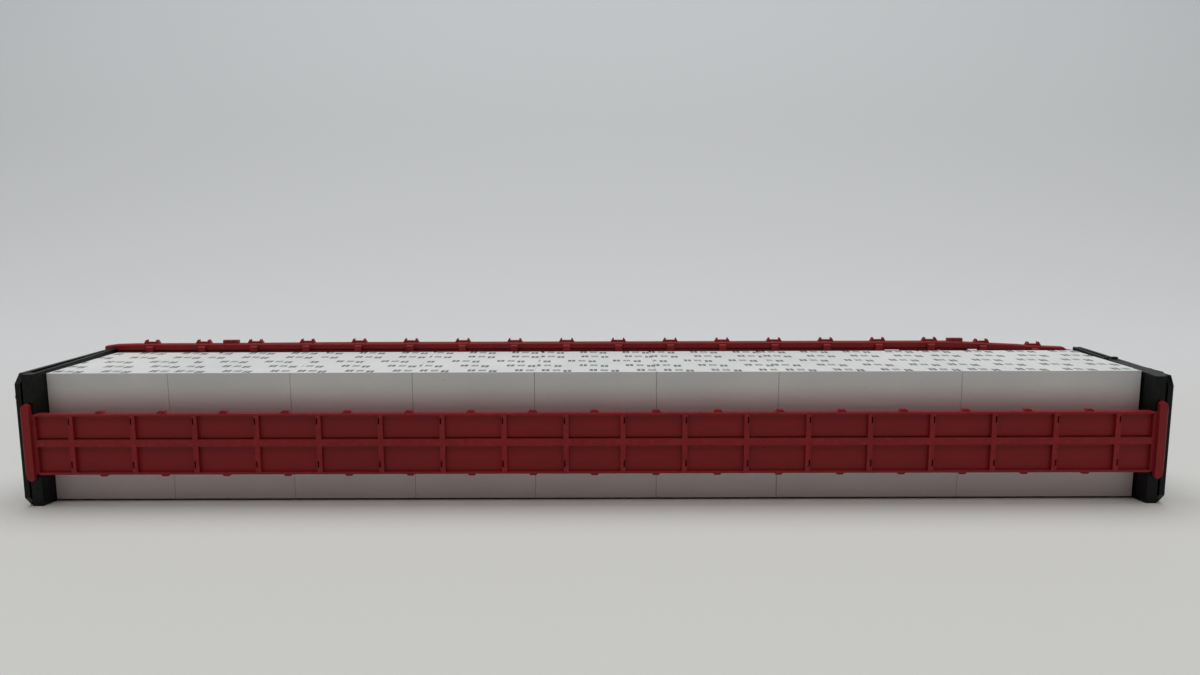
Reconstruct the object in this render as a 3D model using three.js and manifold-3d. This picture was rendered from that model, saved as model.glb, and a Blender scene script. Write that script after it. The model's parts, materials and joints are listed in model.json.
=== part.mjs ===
// Centre-partition flat car, 1:87 model, with two rows of wrapped lumber packs.
// The car lies on its side: +X runs along its length, +Y points from its top
// chord towards its wheels, +Z is its sideways direction (up as it lies).
// Lengths are millimetres; body dimensions are stated in scale feet and
// multiplied by FT.
import * as THREE from 'three';
import { mergeVertices } from 'three/addons/utils/BufferGeometryUtils.js';
import Module from 'manifold-3d';

const wasm = await Module();
wasm.setup();

// ---------------------------------------------------------------- dimensions
const FT = 3.5;                    // one scale foot, mm

// load of wrapped packs, scale feet
const PACK_EDGES = [-35.85, -27.93, -19.93, -11.93, -3.93, 4.07, 12.07, 24.07, 35.78];
const PACK_GAP = 0.012;            // open joint between neighbouring packs
const PACK_DEPTH = 8.72;           // top of load (y = 0) to its bottom
const PACK_UPPER = [4.44, 8.49];   // z span of the row lying uppermost
const PACK_LOWER = [0.0, 4.05];    // z span of the row lying lowermost
const PACK_CHAMFER = 0.035;
const PACK_FOLD = [0.11, 0.42];    // folded corners at the bottom of each pack: width, depth

// stations of deck risers, winch brackets and crossbearers, evenly spaced
const STATION_FIRST = -33.36;
const STATION_PITCH = 3.902;
const STATION_COUNT = 18;
// stations of top-chord ribs and partition posts, with a short middle bay
const RIB_FIRST = 1.832;
const RIB_PITCH = 3.972;
const RIBS_PER_HALF = 9;

// car centre plane and deck
const ZC = 4.28;
const DECK_HALF_X = 36.8;
const RISER_TOP_Y = 8.76;
const DECK_Y = 9.05;               // upper surface of the deck plate
const DECK_T = 0.25;
const SILL_Z = 9.14;               // outer edge of the side sill
const SILL_WEB = 0.2;
const SILL_DEPTH_Y = 9.55;
const GROOVE_Z = [8.60, 8.68];     // joint line between deck plate and side sill
const RISER_HALF_X = 0.26;
const RISER_END_Z = 8.97;
const BRACKET_HALF_X = 0.37;       // winch bracket, half distance between fins
const BRACKET_FIN_Z = 9.42;
const BRACKET_DRUM_Z = 0.13;       // drum housing stands this far out of the sill
const PAD_X = [-27.4, 27.06];      // jacking pads
const PAD_HALF_X = 0.57;
const PAD_Z = 9.38;
// bow of the uppermost deck edge near the two ends: position and drop
const EDGE_X = [-36.8, -36.0, -34.5, -31, -24, -20, 26.5, 28, 29.9, 31.9, 32.7, 34.0, 35.2, 35.5, 36.8];
const EDGE_DROP = [0.20, 0.09, 0.05, 0.055, 0.03, 0, 0, 0.08, 0.18, 0.275, 0.35, 0.41, 0.46, 0.66, 0.85];
// open slots between deck plate and sill on the uppermost side
const SLOTS_X = [[21.75, 22.9], [25.7, 26.15], [28.0, 28.78]];
const SLOT_Z = [8.43, 8.52];

// centre partition
const PART_Z = 4.245;
const PART_T = 0.22;
const PART_Y = [-1.06, 8.74];

// top chord
const CHORD_Z = [2.12, 6.11];
const CHORD_HALF_X = 35.84;
const CHORD_Y = [-1.60, -1.08];    // rib crest, rear face
const CHORD_PANEL_Y = -1.35;       // recessed panel surface
const CHORD_FLANGE = 0.13;
const CHORD_RIB_HALF = 0.17;
const CHORD_MID_Z = [3.97, 4.42];
const CHORD_PIT_H = 0.44;
const NUB_BASE = 0.31;
const NUB_CREST = 0.18;
const NUB_H = 0.16;
// end caps of the chord
const CAP_X = [36.08, 36.70];
const CAP_TONGUE = [35.86, -1.53]; // inner end and face of the lip that meets the chord
const CAP_Z = [1.72, 6.80];
const CAP_Y = [-1.78, -1.46];

// bulkheads
const BH_IN = 35.87;
const BH_Z = [-0.08, 8.80];
const BH_Y = [-1.43, 9.03];
const BH_INNER_T = 0.22;
const BH_POST = [35.87, 36.55];    // near post, x span
const BH_POST_Y = -0.75;           // how far the post runs down from the near edge
const BH_OUT_NEAR = [36.68, 37.03];// outer plate at the near edge
const BH_OUT_DECK = [36.20, 36.43];// outer plate at the deck
const BH_RECESS = 0.28;            // web set back from both long edges
// crest of each bulkhead at its near edge and at the deck: the right one leans
const BH_CREST = { left: [8.68, 8.78], right: [8.37, 8.70] };
// clipped near corners of the outer plate, [y, z], uppermost then lowermost
const BH_CLIP = { left: [[0.52, 0.62], [0.54, 0.62]], right: [[0.32, 0.61], [0.52, 0.60]] };

// underframe
const UF_Y = 9.32;
const SILL_HALF_Z = 0.58;
const SILL_DEEP_Y = 10.9;
const SILL_SHALLOW_Y = 10.02;
const BOLSTER_X = 27.0;
const BOLSTER_PAD_Y = 10.05;

// trucks, millimetres
const AXLE_Y = 39.9;               // axle centre line
const WHEELBASE_HALF = 10.2;
const WHEEL_R = 4.8;
const FLANGE_R = 5.43;
const WHEEL_IN = 7.2;              // back of wheel from the centre plane
const WHEEL_OUT = 10.0;
const WHEEL_BORE = 1.15;
const AXLE_R = 1.08;
const SIDEFRAME_Z = [11.2, 12.9];

// couplers, scale feet unless noted
const COUPLER_PIVOT_X = 35.2;
const COUPLER_Y = [9.78, 10.12];
const BOX_X = [33.3, 36.95];
const BOX_HALF_Z = 0.98;
const BOX_CAV_HALF_Z = 0.78;
const BOX_CAV_Y = [9.62, 10.46];
const LID_Y = [10.50, 10.64];

// ----------------------------------------------------------------- colours
const red = () => new THREE.MeshStandardMaterial({ color: 0x7a2529, roughness: 0.55, metalness: 0 });
const black = () => new THREE.MeshStandardMaterial({ color: 0x1a1c1d, roughness: 0.5, metalness: 0 });
const wrap = () => new THREE.MeshStandardMaterial({ color: 0xdcdcd8, roughness: 0.6, metalness: 0 });
const truckPlastic = () => new THREE.MeshStandardMaterial({ color: 0x26211f, roughness: 0.65, metalness: 0 });
const wheelMetal = () => new THREE.MeshStandardMaterial({ color: 0x4a4643, roughness: 0.35, metalness: 0.9 });
const steel = () => new THREE.MeshStandardMaterial({ color: 0x8c8c8c, roughness: 0.4, metalness: 1 });
const couplerMetal = () => new THREE.MeshStandardMaterial({ color: 0x2b2a2a, roughness: 0.5, metalness: 0.6 });

// ------------------------------------------------------------ solid helpers
function solid(geometry) {
  let g = geometry.index ? geometry.toNonIndexed() : geometry;
  g.deleteAttribute('normal');
  g.deleteAttribute('uv');
  g = mergeVertices(g, 1e-4);
  return new wasm.Manifold(new wasm.Mesh({
    numProp: 3,
    vertProperties: new Float32Array(g.attributes.position.array),
    triVerts: new Uint32Array(g.index.array),
  }));
}
function geometryOf(body) {
  const m = body.getMesh();
  const g = new THREE.BufferGeometry();
  g.setAttribute('position', new THREE.BufferAttribute(new Float32Array(m.vertProperties), 3));
  g.setIndex(new THREE.BufferAttribute(new Uint32Array(m.triVerts), 1));
  const flat = g.toNonIndexed();
  flat.computeVertexNormals();
  return flat;
}
const union = (list) => list.reduce((a, b) => a.add(b));
const cut = (base, list) => list.reduce((a, b) => a.subtract(b), base);

function boxMm(x0, x1, y0, y1, z0, z1) {
  const g = new THREE.BoxGeometry(x1 - x0, y1 - y0, z1 - z0);
  g.translate((x0 + x1) / 2, (y0 + y1) / 2, (z0 + z1) / 2);
  return solid(g);
}
const box = (x0, x1, y0, y1, z0, z1) =>
  boxMm(x0 * FT, x1 * FT, y0 * FT, y1 * FT, z0 * FT, z1 * FT);

// polygon [[a, b], ...] swept along the third axis; order is cyclic
function sweep(points, c0, c1, along, scale = 1, holes = []) {
  const shape = new THREE.Shape(points.map(([a, b]) => new THREE.Vector2(a * scale, b * scale)));
  const g = new THREE.ExtrudeGeometry(shape, { depth: (c1 - c0) * scale, bevelEnabled: false, steps: 1 });
  g.translate(0, 0, c0 * scale);
  const p = g.attributes.position;
  for (let i = 0; i < p.count; i++) {
    const a = p.getX(i), b = p.getY(i), c = p.getZ(i);
    if (along === 'x') p.setXYZ(i, c, a, b);        // polygon in (y, z)
    if (along === 'y') p.setXYZ(i, b, c, a);        // polygon in (z, x)
  }
  const over = 0.5 / scale;                          // along z: polygon in (x, y)
  return holes.reduce((body, h) => body.subtract(sweep(h, c0 - over, c1 + over, along, scale)), solid(g));
}
// section in (y, z) swept along x through stations, its far edge following a drop
function edgeSweep(section, xs, drops, side) {
  const shape = new THREE.Shape(section.map(([a, b]) => new THREE.Vector2(a * FT, b * FT)));
  const n = xs.length - 1;
  const g = new THREE.ExtrudeGeometry(shape, { depth: n, bevelEnabled: false, steps: n });
  const p = g.attributes.position;
  for (let i = 0; i < p.count; i++) {
    const k = Math.round(p.getZ(i));
    const y = p.getX(i), z = p.getY(i) - drops[k] * FT;
    p.setXYZ(i, xs[k] * FT, y, z);
  }
  return solid(g);
}
function rod(axis, c, r, half, segments = 12) {
  const g = new THREE.CylinderGeometry(r, r, half * 2, segments);
  if (axis === 'x') g.rotateZ(-Math.PI / 2);
  if (axis === 'z') g.rotateX(Math.PI / 2);
  g.translate(c[0], c[1], c[2]);
  return solid(g);
}
function cone(axis, c, r0, r1, length, segments = 12) {
  // r0 at the low end of the axis, r1 at the high end, centred on c
  const g = new THREE.CylinderGeometry(r1, r0, length, segments);
  if (axis === 'z') g.rotateX(Math.PI / 2);
  if (axis === 'x') g.rotateZ(-Math.PI / 2);
  g.translate(c[0], c[1], c[2]);
  return solid(g);
}
// closed profile of [radius, z] turned about the z axis
function turned(profile, segments) {
  const g = new THREE.LatheGeometry(profile.map(([r, z]) => new THREE.Vector2(r, z)), segments);
  g.rotateX(Math.PI / 2);
  return g;
}
function part(name, body, material, position) {
  const mesh = new THREE.Mesh(body.isBufferGeometry ? body : geometryOf(body), material);
  mesh.name = name;
  if (position) mesh.position.set(...position);
  return mesh;
}
function drop(x) {
  for (let i = 1; i < EDGE_X.length; i++) {
    if (x <= EDGE_X[i]) {
      const t = (x - EDGE_X[i - 1]) / (EDGE_X[i] - EDGE_X[i - 1]);
      return EDGE_DROP[i - 1] + t * (EDGE_DROP[i] - EDGE_DROP[i - 1]);
    }
  }
  return EDGE_DROP[EDGE_DROP.length - 1];
}

const STATIONS = [];
for (let k = 0; k < STATION_COUNT; k++) STATIONS.push(STATION_FIRST + k * STATION_PITCH);
const RIBS = [];
for (let k = RIBS_PER_HALF - 1; k >= 0; k--) RIBS.push(-(RIB_FIRST + k * RIB_PITCH));
for (let k = 0; k < RIBS_PER_HALF; k++) RIBS.push(RIB_FIRST + k * RIB_PITCH);

const car = new THREE.Group();

// ------------------------------------------------------------------- deck
{
  const z = (v) => 2 * ZC - v;     // mirror of a height in the centre plane
  const zero = EDGE_X.map(() => 0);
  const yb = DECK_Y + DECK_T;
  const sections = [];
  // plate between the joint lines; the joint line is a shallow groove
  const inner = box(-DECK_HALF_X, DECK_HALF_X, DECK_Y, yb, z(GROOVE_Z[0]) + 0.2, GROOVE_Z[0] - 0.9);
  sections.push(inner);
  // uppermost edge: strip of plate, groove bottom, sill with its web and flange
  const edge = [
    [DECK_Y, GROOVE_Z[0] - 1.0], [DECK_Y, GROOVE_Z[0]], [DECK_Y + 0.15, GROOVE_Z[0]],
    [DECK_Y + 0.15, GROOVE_Z[1]], [DECK_Y, GROOVE_Z[1]], [DECK_Y, SILL_Z - 0.09],
    [DECK_Y + 0.09, SILL_Z], [SILL_DEPTH_Y, SILL_Z], [SILL_DEPTH_Y, SILL_Z - 0.45],
    [SILL_DEPTH_Y - 0.14, SILL_Z - 0.45], [SILL_DEPTH_Y - 0.14, SILL_Z - SILL_WEB],
    [yb, SILL_Z - SILL_WEB], [yb, GROOVE_Z[0] - 1.0],
  ];
  sections.push(edgeSweep(edge, EDGE_X, EDGE_DROP));
  // lowermost edge: the mirrored section, straight
  const mirrored = edge.map(([y, v]) => [y, z(v)]).reverse();
  sections.push(edgeSweep(mirrored, [EDGE_X[0], EDGE_X[EDGE_X.length - 1]], [0, 0]));
  // end sills, open in the middle for the draft gear
  for (const s of [-1, 1]) {
    const a = s * DECK_HALF_X, b = s * (DECK_HALF_X - 0.3);
    sections.push(box(Math.min(a, b), Math.max(a, b), DECK_Y + 0.05, 9.62, ZC + 1.06, 8.2));
    sections.push(box(Math.min(a, b), Math.max(a, b), DECK_Y + 0.05, 9.62, z(8.2), ZC - 1.06));
  }
  // risers that carry the load, one per station, with a sloping upper end
  for (const x of STATIONS) {
    const top = RISER_END_Z - drop(x), low = z(RISER_END_Z);
    sections.push(sweep([
      [RISER_TOP_Y, low + 0.12], [RISER_TOP_Y + 0.12, low], [DECK_Y + 0.1, low],
      [DECK_Y + 0.1, top], [RISER_TOP_Y + 0.08, top], [RISER_TOP_Y, top - 0.08],
    ], (x - RISER_HALF_X), (x + RISER_HALF_X), 'x', FT));
  }
  // winch brackets: two fins with flared feet and a drum housing between them
  for (const x of STATIONS) {
    for (const side of [1, -1]) {
      const d = side > 0 ? drop(x) : 0;
      const m = (v) => (side > 0 ? v - d : z(v));
      const lo = Math.min(m(SILL_Z - 0.12), m(SILL_Z + BRACKET_DRUM_Z));
      const hi = Math.max(m(SILL_Z - 0.12), m(SILL_Z + BRACKET_DRUM_Z));
      sections.push(box(x - BRACKET_HALF_X, x + BRACKET_HALF_X, DECK_Y + 0.2, DECK_Y + 0.46, lo, hi));
      for (const h of [-1, 1]) {
        const c = x + h * BRACKET_HALF_X;
        const fin = [
          [m(SILL_Z - 0.15), c - h * 0.06], [m(SILL_Z - 0.10), c + h * 0.28],
          [m(BRACKET_FIN_Z), c + h * 0.05], [m(BRACKET_FIN_Z), c - h * 0.02],
        ];
        sections.push(sweep(fin, DECK_Y + 0.12, DECK_Y + 0.5, 'y', FT));
      }
    }
  }
  // jacking pads with two cast lines
  for (const x of PAD_X) {
    for (const side of [1, -1]) {
      const m = (v) => (side > 0 ? v - drop(x) : z(v));
      const p = (y0, y1, a, b, x0, x1) => box(x0, x1, y0, y1, Math.min(m(a), m(b)), Math.max(m(a), m(b)));
      let pad = p(DECK_Y + 0.12, SILL_DEPTH_Y, SILL_Z - 0.1, PAD_Z, x - PAD_HALF_X, x + PAD_HALF_X);
      for (const u of [-0.14, 0.28]) {
        pad = pad.subtract(p(DECK_Y, DECK_Y + 0.2, SILL_Z + 0.02, PAD_Z + 0.1, x + u - 0.04, x + u + 0.04));
      }
      sections.push(pad);
    }
  }
  let deck = union(sections);
  // clearance for the kingpin bosses is below the deck; cut the three open slots
  deck = cut(deck, SLOTS_X.map(([a, b]) =>
    box(a, b, DECK_Y - 0.5, yb + 0.3, SLOT_Z[0], SLOT_Z[1])));
  car.add(part('deck', deck, red()));
}

// ------------------------------------------------------------- underframe
let underframe;
{
  const pieces = [];
  // fish-belly centre sill
  pieces.push(sweep([
    [-BOX_X[0], UF_Y], [BOX_X[0], UF_Y], [BOX_X[0], SILL_SHALLOW_Y], [24.6, SILL_SHALLOW_Y],
    [20.8, SILL_DEEP_Y], [-20.8, SILL_DEEP_Y], [-24.6, SILL_SHALLOW_Y], [-BOX_X[0], SILL_SHALLOW_Y],
  ], ZC - SILL_HALF_Z, ZC + SILL_HALF_Z, 'z', FT));
  // bottom flange of the deep sill
  pieces.push(box(-20.8, 20.8, SILL_DEEP_Y - 0.12, SILL_DEEP_Y + 0.02, ZC - 0.85, ZC + 0.85));
  // crossbearers taper from the sill to the deck edges
  for (const x of STATIONS) {
    if (Math.abs(x) > 22) continue;
    pieces.push(sweep([
      [UF_Y, ZC - 4.35], [UF_Y + 0.3, ZC - 4.35], [10.6, ZC - 1.0], [10.6, ZC + 1.0],
      [UF_Y + 0.3, ZC + 4.35], [UF_Y, ZC + 4.35],
    ], x - 0.1, x + 0.1, 'x', FT));
  }
  // light stringers over the trucks
  for (const s of [-1, 1]) {
    for (const x of STATIONS.filter((v) => v * s > 22.5 && v * s < 30)) {
      pieces.push(box(x - 0.1, x + 0.1, UF_Y, UF_Y + 0.22, ZC - 4.2, ZC + 4.2));
    }
    // body bolster with side-bearing pads and centre plate
    const bx = s * BOLSTER_X;
    pieces.push(sweep([
      [UF_Y, ZC - 4.3], [UF_Y + 0.3, ZC - 4.3], [9.93, ZC - 2.6], [9.93, ZC + 2.6],
      [UF_Y + 0.3, ZC + 4.3], [UF_Y, ZC + 4.3],
    ], bx - 0.85, bx + 0.85, 'x', FT));
    pieces.push(rod('y', [bx * FT, (9.8 + BOLSTER_PAD_Y) / 2 * FT, ZC * FT], 4.2, (BOLSTER_PAD_Y - 9.8) / 2 * FT, 20));
    // draft-gear box
    const xa = Math.min(s * BOX_X[0], s * BOX_X[1]), xb = Math.max(s * BOX_X[0], s * BOX_X[1]);
    pieces.push(box(xa, xb, 9.42, LID_Y[0] - 0.01, ZC - BOX_HALF_Z, ZC + BOX_HALF_Z));
    pieces.push(box(Math.min(s * 33.0, s * 34.0), Math.max(s * 33.0, s * 34.0), UF_Y, 9.5, ZC - BOX_HALF_Z, ZC + BOX_HALF_Z));
  }
  underframe = union(pieces);
  const cuts = [];
  // channel for the ballast bar, open to the deck
  cuts.push(box(-20.3, 20.3, UF_Y - 0.2, 10.32, ZC - 0.42, ZC + 0.42));
  for (const s of [-1, 1]) {
    // pocket of the draft-gear box, open at its mouth and towards its lid
    const a = s * 34.3, b = s * (BOX_X[1] + 0.3);
    cuts.push(box(Math.min(a, b), Math.max(a, b), BOX_CAV_Y[0], LID_Y[0] + 0.2, ZC - BOX_CAV_HALF_Z, ZC + BOX_CAV_HALF_Z));
    // blind hole for the kingpin screw
    cuts.push(rod('y', [s * BOLSTER_X * FT, 34.4, ZC * FT], 0.95, 1.2, 12));
  }
  underframe = cut(underframe, cuts);
  // pivot posts stand in the pockets, each with a screw hole
  for (const s of [-1, 1]) {
    const c = [s * COUPLER_PIVOT_X * FT, 0, ZC * FT];
    const y0 = (BOX_CAV_Y[0] - 0.05) * FT, y1 = (LID_Y[0] - 0.05) * FT;
    underframe = underframe.add(rod('y', [c[0], (y0 + y1) / 2, c[2]], 0.8, (y1 - y0) / 2, 14));
    underframe = underframe.subtract(rod('y', [c[0], y1, c[2]], 0.42, 1.8, 10));
  }
  car.add(part('underframe', underframe, red()));
}
car.add(part('ballast_bar', box(-20.1, 20.1, UF_Y + 0.02, 10.26, ZC - 0.38, ZC + 0.38), steel()));

// --------------------------------------------------------- centre partition
{
  const half = PART_T / 2;
  // web with a truss opening each side of every diagonal
  const x1 = 35.6;
  const holes = [];
  for (let i = 0; i < RIBS.length - 1; i++) {
    const a = RIBS[i] + 0.28, b = RIBS[i + 1] - 0.28;
    const top = 0.45, bottom = 8.25, w = 0.34;
    const rising = RIBS[i] + RIB_PITCH / 2 < 0;
    if (i === RIBS_PER_HALF - 1) {
      holes.push([[a, top], [b, top], [b, bottom], [a, bottom]]);
    } else if (rising) {
      holes.push([[a, top], [b - w, top], [a, bottom - w * 2]]);
      holes.push([[b, top + w * 2], [b, bottom], [a + w, bottom]]);
    } else {
      holes.push([[a + w, top], [b, top], [b, bottom - w * 2]]);
      holes.push([[a, top + w * 2], [b - w, bottom], [a, bottom]]);
    }
  }
  let body = sweep([[-x1, 0.1], [x1, 0.1], [x1, PART_Y[1]], [-x1, PART_Y[1]]],
    PART_Z - half, PART_Z + half, 'z', FT, holes);
  // posts carry the chord above the load
  const posts = RIBS.concat([-35.35, 35.35]).map((x) =>
    box(x - 0.2, x + 0.2, PART_Y[0], 0.4, PART_Z - half, PART_Z + half));
  // knee gussets under the chord at each station
  const knees = RIBS.map((x) => sweep([
    [PART_Y[0], PART_Z - 1.1], [-0.35, PART_Z - half], [-0.35, PART_Z + half], [PART_Y[0], PART_Z + 1.1],
  ], x - 0.06, x + 0.06, 'x', FT));
  body = union([body, ...posts, ...knees]);
  car.add(part('centre_partition', body, red()));
}

// --------------------------------------------------------------- top chord
{
  const [z0, z1] = CHORD_Z, [yf, yr] = CHORD_Y;
  let chord = box(-CHORD_HALF_X, CHORD_HALF_X, yf, yr, z0, z1);
  const pockets = [];
  const edges = [-CHORD_HALF_X + 0.02, ...RIBS, CHORD_HALF_X - 0.02];
  for (let i = 0; i < edges.length - 1; i++) {
    const a = edges[i] + (i === 0 ? 0 : CHORD_RIB_HALF);
    const b = edges[i + 1] - (i === edges.length - 2 ? 0 : CHORD_RIB_HALF);
    pockets.push(box(a, b, yf - 1, CHORD_PANEL_Y, CHORD_MID_Z[1], z1 - CHORD_FLANGE));
    pockets.push(box(a, b, yf - 1, CHORD_PANEL_Y, z0 + CHORD_FLANGE, CHORD_MID_Z[0]));
    // crease above the middle rib
    pockets.push(box(a, b, CHORD_PANEL_Y - 0.01, CHORD_PANEL_Y + 0.09, CHORD_MID_Z[1], CHORD_MID_Z[1] + 0.07));
  }
  // slots in the outer half of each rib
  for (const x of RIBS) {
    const c = x + Math.sign(x) * 0.09;
    for (const zc of [5.62, 2.77]) {
      pockets.push(box(c - 0.05, c + 0.05, yf - 1, yf + 0.28, zc - CHORD_PIT_H / 2, zc + CHORD_PIT_H / 2));
    }
  }
  chord = cut(chord, pockets);
  const nubs = [];
  for (let k = -8; k <= 8; k++) {
    const x = k * RIB_PITCH;
    for (const [base, dir] of [[z1, 1], [z0, -1]]) {
      nubs.push(sweep([
        [base - dir * 0.05, x - NUB_BASE], [base, x - NUB_BASE], [base + dir * NUB_H, x - NUB_CREST],
        [base + dir * NUB_H, x + NUB_CREST], [base, x + NUB_BASE], [base - dir * 0.05, x + NUB_BASE],
      ], yf + 0.16, yr - 0.06, 'y', FT));
    }
  }
  car.add(part('top_chord', union([chord, ...nubs]), red()));
}
// end caps of the chord: bars with rounded inner and sloping outer corners
for (const s of [-1, 1]) {
  const outer = CAP_X[1], inner = CAP_X[0];
  const pts = [
    [CAP_Z[0], inner + 0.14], [CAP_Z[0], outer - 0.34], [CAP_Z[0] + 0.16, outer - 0.14],
    [CAP_Z[0] + 0.62, outer], [CAP_Z[1] - 0.62, outer], [CAP_Z[1] - 0.16, outer - 0.14],
    [CAP_Z[1], outer - 0.34], [CAP_Z[1], inner + 0.14], [CAP_Z[1] - 0.14, inner], [CAP_Z[0] + 0.14, inner],
  ].map(([z, x]) => [z, s * x]);
  let cap = sweep(pts, CAP_Y[0], CAP_Y[1], 'y', FT);
  // long outer edge bevelled
  cap = cap.subtract(sweep([
    [s * (outer + 0.01), CAP_Y[0] - 0.01], [s * (outer - 0.13), CAP_Y[0] - 0.01], [s * (outer + 0.01), CAP_Y[0] + 0.15],
  ], CAP_Z[0] - 0.1, CAP_Z[1] + 0.1, 'z', FT));
  cap = cap.add(box(Math.min(s * CAP_TONGUE[0], s * (inner + 0.2)), Math.max(s * CAP_TONGUE[0], s * (inner + 0.2)),
    CAP_TONGUE[1], CAP_Y[1], CHORD_Z[0] + 0.02, CHORD_Z[1] - 0.02));
  car.add(part(s < 0 ? 'chord_end_cap_left' : 'chord_end_cap_right', cap, red()));
}

// --------------------------------------------------------------- bulkheads
const bulkheadFace = (y) => {      // outer face position at a given y
  const t = (y - BH_Y[0]) / (BH_Y[1] - BH_Y[0]);
  return BH_OUT_NEAR[1] + t * (BH_OUT_DECK[1] - BH_OUT_NEAR[1]);
};
for (const s of [-1, 1]) {
  const bx = (x0, x1, ...r) => box(Math.min(s * x0, s * x1), Math.max(s * x0, s * x1), ...r);
  const [z0, z1] = BH_Z, [y0, y1] = BH_Y;
  const plate = sweep([
    [s * BH_OUT_NEAR[0], y0], [s * BH_OUT_NEAR[1], y0], [s * BH_OUT_DECK[1], y1], [s * BH_OUT_DECK[0], y1],
  ], z0, z1, 'z', FT);
  const webPoly = [
    [s * (BH_IN + 0.05), y0 + 0.3], [s * (BH_OUT_NEAR[0] + 0.1), y0 + 0.3],
    [s * (BH_OUT_DECK[0] + 0.08), y1], [s * (BH_IN + 0.05), y1],
  ];
  const web = sweep(webPoly, z0 + BH_RECESS, z1 - BH_RECESS, 'z', FT);
  const inner = bx(BH_IN, BH_IN + BH_INNER_T, y0, y1, z0, z1);
  const post = bx(BH_POST[0], BH_POST[1], y0, BH_POST_Y, z0, z1);
  const end = s < 0 ? 'left' : 'right';
  // stiffeners on the outer face follow its slope
  const ribs = [];
  for (const y of [1.1, 3.7, 6.3, 8.6]) {
    const f0 = bulkheadFace(y - 0.12), f1 = bulkheadFace(y + 0.12);
    ribs.push(sweep([
      [s * (f0 - 0.08), y - 0.12], [s * (f0 + 0.13), y - 0.12], [s * (f1 + 0.13), y + 0.12], [s * (f1 - 0.08), y + 0.12],
    ], z0 + 0.35, z1 - 0.35, 'z', FT));
  }
  for (const zc of [2.3, 6.3]) {
    ribs.push(sweep([
      [s * (bulkheadFace(-0.6) - 0.08), -0.6], [s * (bulkheadFace(-0.6) + 0.13), -0.6],
      [s * (bulkheadFace(8.7) + 0.13), 8.7], [s * (bulkheadFace(8.7) - 0.08), 8.7],
    ], zc - 0.14, zc + 0.14, 'z', FT));
  }
  // the outer plate's near corners are clipped; the post keeps its square ends
  const xs = s > 0 ? [35, 38] : [-38, -35];
  const clips = [[z1, -1], [z0, 1]].map(([z, d], i) => {
    const [cy, cz] = BH_CLIP[end][i];
    const zEdge = i ? z : BH_CREST[end][0];
    return sweep([
      [y0 - 0.2, zEdge - d * 0.5], [y0 - 0.2, zEdge + d * (cz + 0.2 * cz / cy)],
      [y0 + cy + 0.5 * cy / cz, zEdge - d * 0.5],
    ], xs[0], xs[1], 'x', FT);
  });
  const outer = cut(union([plate, ...ribs]), clips);
  // small knobs on the crest or outer edge
  const knob = s > 0
    ? bx(36.30, 36.62, 4.42, 4.72, 8.0, 8.64)
    : bx(36.80, 37.10, -1.36, -1.20, 7.08, 7.30);
  let body = union([outer, web, inner, post, knob]);
  const [c0, c1] = BH_CREST[end];
  if (s > 0) {
    body = cut(body, [union([
      sweep([[y0 - 0.5, c0 - (c1 - c0) * 0.5 / (y1 - y0)], [4.42, c0 + (c1 - c0) * (4.42 - y0) / (y1 - y0)], [4.42, 10], [y0 - 0.5, 10]], xs[0], xs[1], 'x', FT),
      sweep([[4.72, c0 + (c1 - c0) * (4.72 - y0) / (y1 - y0)], [y1 + 0.5, c1 + (c1 - c0) * 0.5 / (y1 - y0)], [y1 + 0.5, 10], [4.72, 10]], xs[0], xs[1], 'x', FT),
      box(xs[0], xs[1], 4.41, 4.73, 8.66, 10),
    ])]);
  } else {
    body = cut(body, [sweep([
      [y0 - 0.5, c0 - (c1 - c0) * 0.5 / (y1 - y0)], [y1 + 0.5, c1 + (c1 - c0) * 0.5 / (y1 - y0)], [y1 + 0.5, 10], [y0 - 0.5, 10],
    ], xs[0], xs[1], 'x', FT)]);
  }
  car.add(part(s < 0 ? 'bulkhead_left' : 'bulkhead_right', body, black()));
}
// ladders on the outer faces, one at a diagonal corner of each end
for (const s of [-1, 1]) {
  const zA = s > 0 ? 7.05 : 0.32, zB = zA + 1.35;
  const gap = 0.02, bar = 0.07, stand = 0.16;
  const rails = [];
  for (const z of [zA, zB - bar]) {
    rails.push(sweep([
      [s * (bulkheadFace(0.0) + gap + stand), 0.0], [s * (bulkheadFace(0.0) + gap + stand + bar), 0.0],
      [s * (bulkheadFace(8.4) + gap + stand + bar), 8.4], [s * (bulkheadFace(8.4) + gap + stand), 8.4],
    ], z, z + bar, 'z', FT));
    for (const y of [0.6, 7.9]) {
      const f = bulkheadFace(y - 0.05);
      rails.push(sweep([
        [s * (f + gap), y - 0.05], [s * (f + gap + stand + bar * 0.5), y - 0.05],
        [s * (f + gap + stand + bar * 0.5), y + 0.05], [s * (f + gap), y + 0.05],
      ], z, z + bar, 'z', FT));
    }
  }
  for (const y of [0.25, 1.85, 3.45, 5.05, 6.65, 8.25]) {
    const f = bulkheadFace(y) + gap + stand;
    rails.push(sweep([
      [s * f, y - 0.035], [s * (f + bar), y - 0.035], [s * (f + bar), y + 0.035], [s * f, y + 0.035],
    ], zA, zB, 'z', FT));
  }
  // stand-offs clear the stiffener crests
  car.add(part(s < 0 ? 'ladder_left' : 'ladder_right', union(rails), black()));
}

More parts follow.
